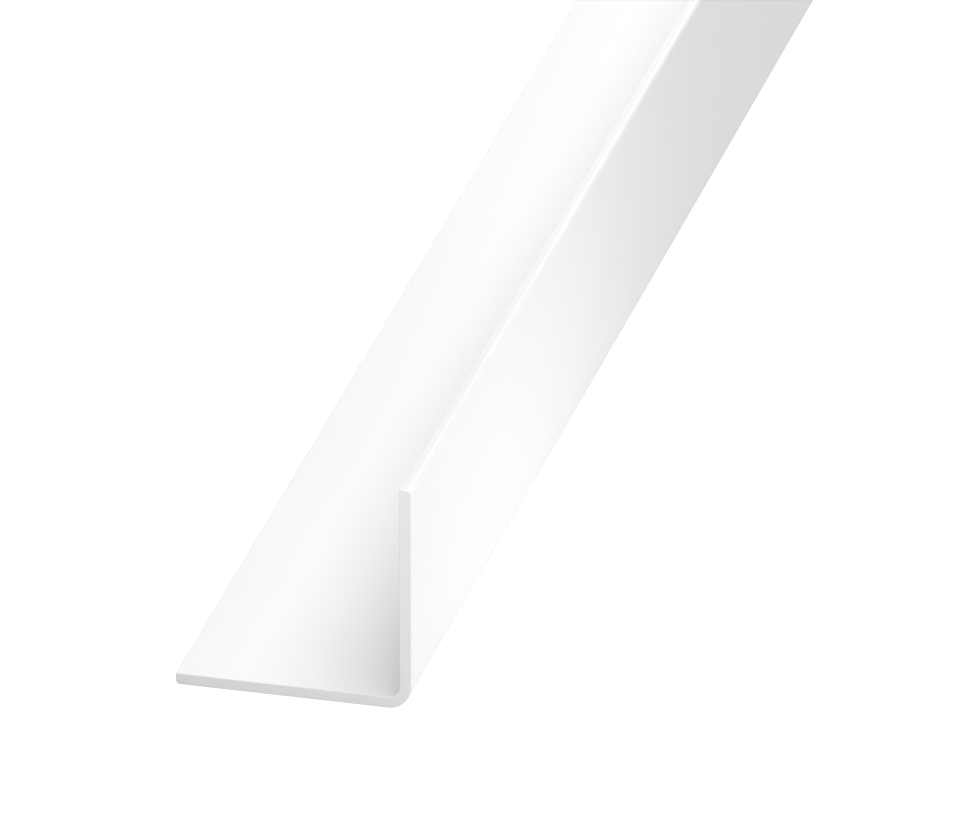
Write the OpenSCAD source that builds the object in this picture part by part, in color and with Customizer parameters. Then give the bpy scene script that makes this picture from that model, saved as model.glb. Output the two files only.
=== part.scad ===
// Angle profile of rigid white PVC: one straight extrusion, sawn square at both ends.
// It lies on its flat leg. X runs across the flat leg, Y along the length and Z up.
// The origin is on the floor, under the middle of the profile.

/* [Legs] */
// Width of the flat leg, measured over the outside
flat_leg = 30; // [12:0.5:80]
// Height of the upright leg, measured over the outside
upright_leg = 30; // [12:0.5:80]
// Thickness of the wall, the same in both legs and round the bend
wall = 1.5; // [1:0.1:4]

/* [Bend] */
// Radius of the fillet inside the bend
bend_inner_r = 1.6; // [0.2:0.1:6]

/* [Leg tips] */
// Radius on the outer edge of each leg tip
tip_outer_r = 0.6; // [0.1:0.05:0.75]
// Radius on the inner edge of each leg tip
tip_inner_r = 0.2; // [0.05:0.05:0.75]

/* [Stock] */
// Length of the bar as it is sold
stock_length = 1000; // [200:50:3000]

/* [Hidden] */
$fn = 64;
// The outside of the bend shares its centre with the inside, so the wall is even round it.
bend_outer_r = bend_inner_r + wall;

// Quarter of a disc, in the first quadrant.
module quarter_disc(r) {
    intersection() {
        circle(r);
        square(2 * r);
    }
}

// Bar as thick as the wall, along X from the origin, with its far lower corner rounded.
module rounded_bar(length, r) {
    square([length - r, wall]);
    translate([length - r, r]) {
        square([r, wall - r]);
        rotate(-90) quarter_disc(r);
    }
}

// Straight run of one leg beyond the bend, with its outer face on X and its tip rounded on both edges.
module leg_run(length) {
    intersection() {
        rounded_bar(length, tip_outer_r);
        translate([0, wall]) mirror([0, 1]) rounded_bar(length, tip_inner_r);
    }
}

// Quarter ring that joins the two legs, with its outside at the origin's corner.
module bend() {
    translate([bend_outer_r, bend_outer_r]) rotate(180) difference() {
        quarter_disc(bend_outer_r);
        circle(bend_inner_r);
    }
}

// Section of the extrusion: the flat leg along X, the upright leg along Y.
module angle_section() {
    bend();
    translate([bend_outer_r, 0]) leg_run(flat_leg - bend_outer_r);
    mirror([1, -1]) translate([bend_outer_r, 0]) leg_run(upright_leg - bend_outer_r);
}

module angle_profile() {
    color("whitesmoke")
        translate([flat_leg / 2, -stock_length / 2, 0])
            rotate([90, 0, 180])
                linear_extrude(stock_length) angle_section();
}

angle_profile();
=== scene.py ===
"""Dresses the white PVC angle profile and sets up its studio.

The bar is one extrusion with an L-shaped section, sawn square at both ends. It lies on its flat leg on a
pale floor. Sizes are in metres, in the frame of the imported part: X across the flat leg, Y along the bar,
Z up.
"""

import logging
import math
from dataclasses import dataclass
from enum import Enum, IntEnum

import bmesh
import bpy
from mathutils import Matrix, Vector

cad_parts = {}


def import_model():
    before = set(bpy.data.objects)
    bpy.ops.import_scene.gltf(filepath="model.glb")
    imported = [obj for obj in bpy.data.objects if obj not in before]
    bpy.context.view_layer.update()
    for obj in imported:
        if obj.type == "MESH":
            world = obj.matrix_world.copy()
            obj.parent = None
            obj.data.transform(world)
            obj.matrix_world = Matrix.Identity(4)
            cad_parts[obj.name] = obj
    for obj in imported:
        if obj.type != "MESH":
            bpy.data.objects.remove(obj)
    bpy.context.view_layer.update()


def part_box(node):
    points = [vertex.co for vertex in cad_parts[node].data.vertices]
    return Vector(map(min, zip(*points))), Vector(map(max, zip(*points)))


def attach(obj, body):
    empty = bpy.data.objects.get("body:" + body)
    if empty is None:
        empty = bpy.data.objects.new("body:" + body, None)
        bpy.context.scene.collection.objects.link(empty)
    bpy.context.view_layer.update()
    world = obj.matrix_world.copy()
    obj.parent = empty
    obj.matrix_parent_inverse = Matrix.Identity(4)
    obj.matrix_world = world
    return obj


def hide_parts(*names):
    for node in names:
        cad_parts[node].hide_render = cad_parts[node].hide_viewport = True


LOG = logging.getLogger("angle_profile")

MM = 0.001
CAD_NODE = "angle_profile"
BODY = "root"
# Metres from ring to ring of a wave texture whose scale is 1.
RING_PITCH = math.tau / 20.0
# A bevel with this profile is an arc of a circle.
ARC_PROFILE = 0.5
# A bevel with this material number takes the finish of its neighbours.
NEIGHBOUR_FINISH = -1
# With this weight, normals follow the largest faces alone.
LARGEST_FACES = 100

Colour = tuple[float, float, float]


def direction(azimuth: float, elevation: float) -> Vector:
    """Gives the direction from the bar to a camera or a light.

    Args:
        azimuth: Angle from straight in front of the near end towards the upright leg's side, in radians.
        elevation: Angle above the floor, in radians.

    Returns:
        A vector of length 1.
    """
    flat = math.cos(elevation)
    return Vector((math.sin(azimuth) * flat, -math.cos(azimuth) * flat, math.sin(elevation)))


class Surface(IntEnum):
    """Places of the bar's two finishes in its list of materials."""

    EXTRUDED = 0
    SAWN = 1


class Aim(Enum):
    """What a light panel points at."""

    NEAR_END = "near end"
    UPRIGHT_TIP = "upright leg's tip at the near end"
    FRONT_STRETCH = "stretch behind the near end"
    WHOLE_BAR = "whole bar"


class Bench:
    """A material or world node tree that is filled from an empty start."""

    def __init__(self, owner: bpy.types.Material | bpy.types.World) -> None:
        """Switches nodes on and clears the tree.

        Args:
            owner: The material or world whose tree is built.
        """
        owner.use_nodes = True
        self.tree = owner.node_tree
        self.tree.nodes.clear()

    def add(self, kind: str, **settings: object) -> bpy.types.Node:
        """Adds one node.

        Args:
            kind: The node's type, without the leading "ShaderNode".
            settings: Values for its sockets, by socket name with underscores for spaces, or its own
                settings.

        Returns:
            The new node.
        """
        node = self.tree.nodes.new("ShaderNode" + kind)
        for name, value in settings.items():
            socket = node.inputs.get(name.replace("_", " "))
            if socket is None:
                setattr(node, name, value)
            else:
                socket.default_value = value
        return node

    def link(self, source: bpy.types.NodeSocket, target: bpy.types.NodeSocket) -> None:
        """Joins an output to an input."""
        self.tree.links.new(source, target)


@dataclass(frozen=True)
class ExtrudedFinish:
    """Satin skin that the die leaves: faint lines along the bar and a slightly uneven gloss."""

    name: str = "white_pvc_extruded"
    pale: Colour = (0.887, 0.885, 0.888)
    dull: Colour = (0.867, 0.865, 0.868)
    refraction: float = 1.53
    glossiest: float = 0.34
    roughest: float = 0.44
    die_lines_per_m: float = 1400.0
    die_line_stretch: float = 0.004
    die_line_depth: float = 0.004 * MM
    die_line_strength: float = 0.4
    die_line_detail: float = 3.0
    die_line_contrast: float = 0.6
    cloud_per_m: float = 28.0
    cloud_detail: float = 2.0
    cloud_contrast: float = 0.5

    def material(self) -> bpy.types.Material:
        """Builds the material.

        Returns:
            The material, patterned on the bar's own coordinates.
        """
        material = bpy.data.materials.new(self.name)
        bench = Bench(material)
        place = bench.add("TexCoord")
        along = bench.add("Mapping", Scale=(1.0, self.die_line_stretch, 1.0))
        lines = bench.add(
            "TexNoise",
            Scale=self.die_lines_per_m,
            Detail=self.die_line_detail,
            Roughness=self.die_line_contrast,
        )
        cloud = bench.add(
            "TexNoise",
            Scale=self.cloud_per_m,
            Detail=self.cloud_detail,
            Roughness=self.cloud_contrast,
        )
        gloss = bench.add("MapRange", To_Min=self.glossiest, To_Max=self.roughest)
        tint = bench.add("Mix", data_type="RGBA")
        tint.inputs["A"].default_value = (*self.pale, 1.0)
        tint.inputs["B"].default_value = (*self.dull, 1.0)
        bump = bench.add("Bump", Strength=self.die_line_strength, Distance=self.die_line_depth)
        skin = bench.add("BsdfPrincipled", IOR=self.refraction)
        out = bench.add("OutputMaterial")
        bench.link(place.outputs["Object"], along.inputs["Vector"])
        bench.link(along.outputs["Vector"], lines.inputs["Vector"])
        bench.link(place.outputs["Object"], cloud.inputs["Vector"])
        bench.link(cloud.outputs["Fac"], tint.inputs["Factor"])
        bench.link(lines.outputs["Fac"], gloss.inputs["Value"])
        bench.link(lines.outputs["Fac"], bump.inputs["Height"])
        bench.link(tint.outputs["Result"], skin.inputs["Base Color"])
        bench.link(gloss.outputs["Result"], skin.inputs["Roughness"])
        bench.link(bump.outputs["Normal"], skin.inputs["Normal"])
        bench.link(skin.outputs["BSDF"], out.inputs["Surface"])
        return material


@dataclass(frozen=True)
class SawnFinish:
    """Duller face of a saw cut: shallow arcs from the blade's teeth and a fine grain."""

    name: str = "white_pvc_sawn"
    clean: Colour = (0.877, 0.875, 0.878)
    scuffed: Colour = (0.847, 0.845, 0.848)
    refraction: float = 1.53
    smoothest: float = 0.5
    roughest: float = 0.66
    blade_centre: tuple[float, float, float] = (-0.06, 0.0, 0.11)
    mark_pitch: float = 1.2 * MM
    mark_depth: float = 0.01 * MM
    mark_strength: float = 0.25
    mark_wobble: float = 1.5
    mark_detail: float = 2.0
    mark_detail_scale: float = 3.0
    grain_per_m: float = 5200.0
    grain_detail: float = 2.0
    grain_contrast: float = 0.6

    def material(self) -> bpy.types.Material:
        """Builds the material.

        Returns:
            The material, patterned on the bar's own coordinates.
        """
        material = bpy.data.materials.new(self.name)
        bench = Bench(material)
        place = bench.add("TexCoord")
        to_blade = bench.add("Mapping", Location=[-c for c in self.blade_centre], Scale=(1.0, 0.0, 1.0))
        marks = bench.add(
            "TexWave",
            wave_type="RINGS",
            rings_direction="Y",
            Scale=RING_PITCH / self.mark_pitch,
            Distortion=self.mark_wobble,
            Detail=self.mark_detail,
            Detail_Scale=self.mark_detail_scale,
        )
        grain = bench.add(
            "TexNoise",
            Scale=self.grain_per_m,
            Detail=self.grain_detail,
            Roughness=self.grain_contrast,
        )
        tint = bench.add("Mix", data_type="RGBA")
        tint.inputs["A"].default_value = (*self.clean, 1.0)
        tint.inputs["B"].default_value = (*self.scuffed, 1.0)
        gloss = bench.add("MapRange", To_Min=self.smoothest, To_Max=self.roughest)
        bump = bench.add("Bump", Strength=self.mark_strength, Distance=self.mark_depth)
        cut = bench.add("BsdfPrincipled", IOR=self.refraction)
        out = bench.add("OutputMaterial")
        bench.link(place.outputs["Object"], to_blade.inputs["Vector"])
        bench.link(to_blade.outputs["Vector"], marks.inputs["Vector"])
        bench.link(place.outputs["Object"], grain.inputs["Vector"])
        bench.link(grain.outputs["Fac"], tint.inputs["Factor"])
        bench.link(grain.outputs["Fac"], gloss.inputs["Value"])
        bench.link(marks.outputs["Fac"], bump.inputs["Height"])
        bench.link(tint.outputs["Result"], cut.inputs["Base Color"])
        bench.link(gloss.outputs["Result"], cut.inputs["Roughness"])
        bench.link(bump.outputs["Normal"], cut.inputs["Normal"])
        bench.link(cut.outputs["BSDF"], out.inputs["Surface"])
        return material


@dataclass
class AngleBar:
    """The extruded bar: an L section drawn along Y, with rounded long edges and broken sawn edges.

    The depths and heights place the points that the lights aim at: how far behind the near end they lie,
    and how high above the floor.
    """

    low: Vector
    high: Vector
    name: str = "white_angle_bar"
    wall: float = 1.5 * MM
    bend_inner_r: float = 1.6 * MM
    tip_outer_r: float = 0.6 * MM
    tip_inner_r: float = 0.2 * MM
    saw_break: float = 0.12 * MM
    bend_steps: int = 24
    tip_steps: int = 10
    saw_steps: int = 3
    end_depth: float = 20.0 * MM
    end_height: float = 12.0 * MM
    stretch_depth: float = 42.0 * MM
    stretch_height: float = 6.0 * MM
    smooth_up_to: float = math.radians(40.0)
    same_place_share: float = 0.01

    def near(self, a: float, b: float) -> bool:
        """Says whether two places are the same, to a small share of the wall."""
        return abs(a - b) < self.same_place_share * self.wall

    def spot(self, depth: float, height: float) -> Vector:
        """Gives a point over the middle of the flat leg, so far behind the near end and so high."""
        return Vector(((self.low.x + self.high.x) / 2, self.low.y + depth, self.low.z + height))

    def aims(self) -> dict[Aim, Vector]:
        """Gives the points that light panels face.

        Returns:
            A point for each aim.
        """
        return {
            Aim.NEAR_END: self.spot(self.end_depth, self.end_height),
            Aim.UPRIGHT_TIP: Vector((self.high.x - self.wall / 2, self.low.y, self.high.z)),
            Aim.FRONT_STRETCH: self.spot(self.stretch_depth, self.stretch_height),
            Aim.WHOLE_BAR: self.spot((self.high.y - self.low.y) / 2, 0.0),
        }

    def draw_section(self, bm: bmesh.types.BMesh) -> bmesh.types.BMFace:
        """Draws the sharp-cornered L at the near end.

        Args:
            bm: The mesh to draw in.

        Returns:
            The section's face.
        """
        inner_x, inner_z = self.high.x - self.wall, self.low.z + self.wall
        corners = (
            (self.low.x, self.low.z),
            (self.high.x, self.low.z),
            (self.high.x, self.high.z),
            (inner_x, self.high.z),
            (inner_x, inner_z),
            (self.low.x, inner_z),
        )
        return bm.faces.new([bm.verts.new((x, self.low.y, z)) for x, z in corners])

    def pull_through_die(self, bm: bmesh.types.BMesh, section: bmesh.types.BMFace) -> None:
        """Extrudes the section to the bar's length.

        Args:
            bm: The mesh that holds the section.
            section: The face at the near end.
        """
        grown = bmesh.ops.extrude_face_region(bm, geom=[section], use_keep_orig=True)
        far = [v for v in grown["geom"] if isinstance(v, bmesh.types.BMVert)]
        bmesh.ops.translate(bm, verts=far, vec=(0.0, self.high.y - self.low.y, 0.0))
        bmesh.ops.recalc_face_normals(bm, faces=bm.faces)

    def long_edge(self, bm: bmesh.types.BMesh, x: float, z: float) -> bmesh.types.BMEdge:
        """Finds the edge that runs along the bar through one corner of the section.

        Args:
            bm: The extruded bar.
            x: The corner's place across the flat leg.
            z: The corner's height.

        Returns:
            The edge.
        """
        return next(
            edge
            for edge in bm.edges
            if all(self.near(v.co.x, x) and self.near(v.co.z, z) for v in edge.verts)
        )

    def round_edges(
        self,
        bm: bmesh.types.BMesh,
        edges: list[bmesh.types.BMEdge],
        r: float,
        steps: int,
    ) -> None:
        """Rounds edges to one radius.

        Args:
            bm: The bar.
            edges: The edges to round.
            r: The radius.
            steps: Facets in each rounding.
        """
        bmesh.ops.bevel(
            bm,
            geom=edges,
            offset=r,
            offset_type="OFFSET",
            affect="EDGES",
            segments=steps,
            profile=ARC_PROFILE,
            material=NEIGHBOUR_FINISH,
            clamp_overlap=False,
            loop_slide=False,
        )

    def round_section(self, bm: bmesh.types.BMesh) -> None:
        """Rounds the bend and the leg tips.

        Args:
            bm: The extruded bar, with sharp long edges.
        """
        inner_x, inner_z = self.high.x - self.wall, self.low.z + self.wall
        roundings = (
            (self.high.x, self.low.z, self.bend_inner_r + self.wall, self.bend_steps),
            (inner_x, inner_z, self.bend_inner_r, self.bend_steps),
            (self.low.x, self.low.z, self.tip_outer_r, self.tip_steps),
            (self.high.x, self.high.z, self.tip_outer_r, self.tip_steps),
            (self.low.x, inner_z, self.tip_inner_r, self.tip_steps),
            (inner_x, self.high.z, self.tip_inner_r, self.tip_steps),
        )
        for x, z, r, steps in roundings:
            self.round_edges(bm, [self.long_edge(bm, x, z)], r, steps)

    def break_sawn_edges(self, bm: bmesh.types.BMesh) -> None:
        """Takes the sharpness off the rim of both sawn ends.

        Args:
            bm: The bar, with its section rounded.
        """
        ends = (self.low.y, self.high.y)
        rim = [e for e in bm.edges if any(all(self.near(v.co.y, y) for v in e.verts) for y in ends)]
        self.round_edges(bm, rim, self.saw_break, self.saw_steps)

    def mark_sawn_faces(self, bm: bmesh.types.BMesh) -> None:
        """Gives the two end faces the sawn finish, and the rest the extruded one.

        Args:
            bm: The finished bar.
        """
        for face in bm.faces:
            sawn = abs(face.normal.y) > math.cos(self.smooth_up_to)
            face.material_index = Surface.SAWN if sawn else Surface.EXTRUDED
            face.smooth = True

    def build(self) -> bpy.types.Object:
        """Models the bar.

        Returns:
            The bar's object, at the origin, with its place in its mesh.
        """
        bm = bmesh.new()
        self.pull_through_die(bm, self.draw_section(bm))
        self.round_section(bm)
        self.break_sawn_edges(bm)
        bm.normal_update()
        self.mark_sawn_faces(bm)
        mesh = bpy.data.meshes.new(self.name)
        bm.to_mesh(mesh)
        bm.free()
        mesh.set_sharp_from_angle(angle=self.smooth_up_to)
        bar = bpy.data.objects.new(self.name, mesh)
        bpy.context.scene.collection.objects.link(bar)
        flats = bar.modifiers.new("flat_faces_stay_flat", "WEIGHTED_NORMAL")
        flats.keep_sharp = True
        flats.weight = LARGEST_FACES
        return bar

    def dress(self, bar: bpy.types.Object) -> None:
        """Gives the bar its finishes and its place in the frame.

        Args:
            bar: The modelled bar.
        """
        bar.data.materials.append(ExtrudedFinish().material())
        bar.data.materials.append(SawnFinish().material())
        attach(bar, BODY)
        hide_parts(CAD_NODE)


class LongSide(Enum):
    """Which way a light panel's long side runs."""

    ALONG_BAR = (0.0, 1.0, 0.0)
    UPRIGHT = (0.0, 0.0, 1.0)


@dataclass(frozen=True)
class Softbox:
    """A soft light panel that hangs round its aim, at a brightness where 1 is white.

    Both angles are in degrees. Azimuth 0 is straight in front of the near end, and 90 is on the upright
    leg's side.
    """

    name: str
    aim: Aim
    azimuth: float
    elevation: float
    distance: float
    width: float
    length: float
    long_side: LongSide
    brightness: float

    def hang(self, aim: Vector) -> bpy.types.Object:
        """Puts the panel in the scene.

        Args:
            aim: The point that it faces.

        Returns:
            The light's object.
        """
        light = bpy.data.lights.new(self.name, "AREA")
        light.shape = "RECTANGLE"
        light.size, light.size_y = self.width, self.length
        light.energy = math.pi * self.width * self.length * self.brightness
        towards = direction(math.radians(self.azimuth), math.radians(self.elevation))
        across = Vector(self.long_side.value).cross(towards).normalized()
        turn = Matrix((across, towards.cross(across), towards)).transposed().to_4x4()
        panel = bpy.data.objects.new(self.name, light)
        panel.matrix_world = Matrix.Translation(aim + towards * self.distance) @ turn
        panel.visible_camera = False
        bpy.context.scene.collection.objects.link(panel)
        return panel


@dataclass(frozen=True)
class Studio:
    """Pale floor, white surroundings and soft panels."""

    floor_half: float = 60.0
    floor_drop: float = 0.01 * MM
    floor_bounce: Colour = (0.5, 0.5, 0.5)
    floor_glow: float = 0.862
    floor_shadow: Colour = (0.45, 0.45, 0.45)
    fill: float = 0.31
    fill_tint: Colour = (0.955, 0.945, 1.0)
    panels: tuple[Softbox, ...] = (
        Softbox(
            name="overhead_strip",
            aim=Aim.WHOLE_BAR,
            azimuth=90.0,
            elevation=70.0,
            distance=0.25,
            width=0.125,
            length=1.2,
            long_side=LongSide.ALONG_BAR,
            brightness=2.81,
        ),
        Softbox(
            name="left_strip",
            aim=Aim.WHOLE_BAR,
            azimuth=-90.0,
            elevation=68.0,
            distance=0.052,
            width=0.02,
            length=1.2,
            long_side=LongSide.ALONG_BAR,
            brightness=0.83,
        ),
        Softbox(
            name="front_box",
            aim=Aim.NEAR_END,
            azimuth=20.0,
            elevation=10.0,
            distance=0.14,
            width=0.05,
            length=0.05,
            long_side=LongSide.UPRIGHT,
            brightness=6.2,
        ),
        Softbox(
            name="tip_box",
            aim=Aim.UPRIGHT_TIP,
            azimuth=0.0,
            elevation=30.0,
            distance=0.04,
            width=0.02,
            length=0.02,
            long_side=LongSide.UPRIGHT,
            brightness=1.6,
        ),
        Softbox(
            name="low_side_strip",
            aim=Aim.FRONT_STRETCH,
            azimuth=90.0,
            elevation=0.0,
            distance=0.08,
            width=0.008,
            length=0.1,
            long_side=LongSide.ALONG_BAR,
            brightness=8.2,
        ),
    )

    def seen_directly(self, bench: Bench) -> bpy.types.NodeSocket:
        """Adds the test for rays that show the background itself.

        Args:
            bench: The tree that needs the test.

        Returns:
            A socket that is 1 for camera, glossy and transmission rays.
        """
        path = bench.add("LightPath")
        either = bench.add("Math", operation="MAXIMUM")
        any_of = bench.add("Math", operation="MAXIMUM")
        bench.link(path.outputs["Is Camera Ray"], either.inputs[0])
        bench.link(path.outputs["Is Glossy Ray"], either.inputs[1])
        bench.link(either.outputs["Value"], any_of.inputs[0])
        bench.link(path.outputs["Is Transmission Ray"], any_of.inputs[1])
        return any_of.outputs["Value"]

    def paint_floor(self) -> bpy.types.Material:
        """Makes the floor's paint: white with the bar's shadow when seen, and grey for bounced light.

        Returns:
            The material.
        """
        material = bpy.data.materials.new("white_floor")
        bench = Bench(material)
        glow = bench.add("Emission", Strength=self.floor_glow)
        shadow = bench.add("BsdfDiffuse", Color=(*self.floor_shadow, 1.0))
        seen = bench.add("AddShader")
        bounce = bench.add("BsdfDiffuse", Color=(*self.floor_bounce, 1.0))
        choice = bench.add("MixShader")
        out = bench.add("OutputMaterial")
        bench.link(glow.outputs["Emission"], seen.inputs[0])
        bench.link(shadow.outputs["BSDF"], seen.inputs[1])
        bench.link(self.seen_directly(bench), choice.inputs["Fac"])
        bench.link(bounce.outputs["BSDF"], choice.inputs[1])
        bench.link(seen.outputs["Shader"], choice.inputs[2])
        bench.link(choice.outputs["Shader"], out.inputs["Surface"])
        return material

    def lay_floor(self) -> bpy.types.Object:
        """Lays the floor under the bar.

        Returns:
            The floor's object.
        """
        bm = bmesh.new()
        bmesh.ops.create_grid(bm, x_segments=1, y_segments=1, size=self.floor_half)
        bmesh.ops.translate(bm, verts=bm.verts, vec=(0.0, 0.0, -self.floor_drop))
        mesh = bpy.data.meshes.new("studio_floor")
        bm.to_mesh(mesh)
        bm.free()
        mesh.materials.append(self.paint_floor())
        floor = bpy.data.objects.new("studio_floor", mesh)
        bpy.context.scene.collection.objects.link(floor)
        return floor

    def surround(self) -> None:
        """Makes the world: white where it is seen, and a gentle fill where it lights the bar."""
        world = bpy.data.worlds.new("studio_surround")
        bpy.context.scene.world = world
        bench = Bench(world)
        white = bench.add("Background", Color=(1.0, 1.0, 1.0, 1.0), Strength=1.0)
        fill = bench.add("Background", Color=(*self.fill_tint, 1.0), Strength=self.fill)
        choice = bench.add("MixShader")
        out = bench.add("OutputWorld")
        bench.link(self.seen_directly(bench), choice.inputs["Fac"])
        bench.link(fill.outputs["Background"], choice.inputs[1])
        bench.link(white.outputs["Background"], choice.inputs[2])
        bench.link(choice.outputs["Shader"], out.inputs["Surface"])

    def set_up(self, aims: dict[Aim, Vector]) -> None:
        """Lays the floor, makes the surround and hangs the panels.

        Args:
            aims: Where the panels' aims are.
        """
        self.lay_floor()
        self.surround()
        for panel in self.panels:
            panel.hang(aims[panel.aim])
            LOG.info("light %s", panel.name)


@dataclass(frozen=True)
class PhotoCamera:
    """The photograph's camera: far away, with a long lens, above the near end and to its right."""

    image_width: float = 970.0
    image_height: float = 815.0
    heel_px: tuple[float, float] = (411.3, 710.6)
    azimuth: float = math.radians(14.305)
    elevation: float = math.radians(25.805)
    distance: float = 3.8026
    focal_px: float = 30901.0
    sensor: float = 36.0
    reach: float = 200.0

    def set_up(self, heel: Vector) -> bpy.types.Object:
        """Places the camera so that the near end's heel falls on its pixel.

        Args:
            heel: The outer corner of the section at the near end, on the floor.

        Returns:
            The camera's object.
        """
        back = direction(self.azimuth, self.elevation)
        right = Vector((math.cos(self.azimuth), math.sin(self.azimuth), 0.0))
        up = back.cross(right)
        per_px = self.distance / self.focal_px
        across = (self.heel_px[0] - self.image_width / 2) * per_px
        down = (self.heel_px[1] - self.image_height / 2) * per_px
        data = bpy.data.cameras.new("photo_camera")
        data.sensor_width = self.sensor
        data.lens = self.focal_px * self.sensor / self.image_width
        data.clip_end = self.reach
        camera = bpy.data.objects.new("photo_camera", data)
        turn = Matrix((right, up, back)).transposed().to_4x4()
        place = heel + back * self.distance - right * across + up * down
        camera.matrix_world = Matrix.Translation(place) @ turn
        bpy.context.scene.collection.objects.link(camera)
        bpy.context.scene.camera = camera
        return camera


def main() -> None:
    """Loads the frame, builds the bar, dresses it and sets up the studio and the camera."""
    logging.basicConfig(level=logging.INFO, format="%(name)s: %(message)s")
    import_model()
    low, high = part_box(CAD_NODE)
    shaper = AngleBar(low, high)
    bar = shaper.build()
    shaper.dress(bar)
    LOG.info("%s: %d faces", bar.name, len(bar.data.polygons))
    Studio().set_up(shaper.aims())
    PhotoCamera().set_up(Vector((high.x, low.y, low.z)))
    bpy.context.scene.view_settings.view_transform = "Standard"


if __name__ == "__main__":
    main()
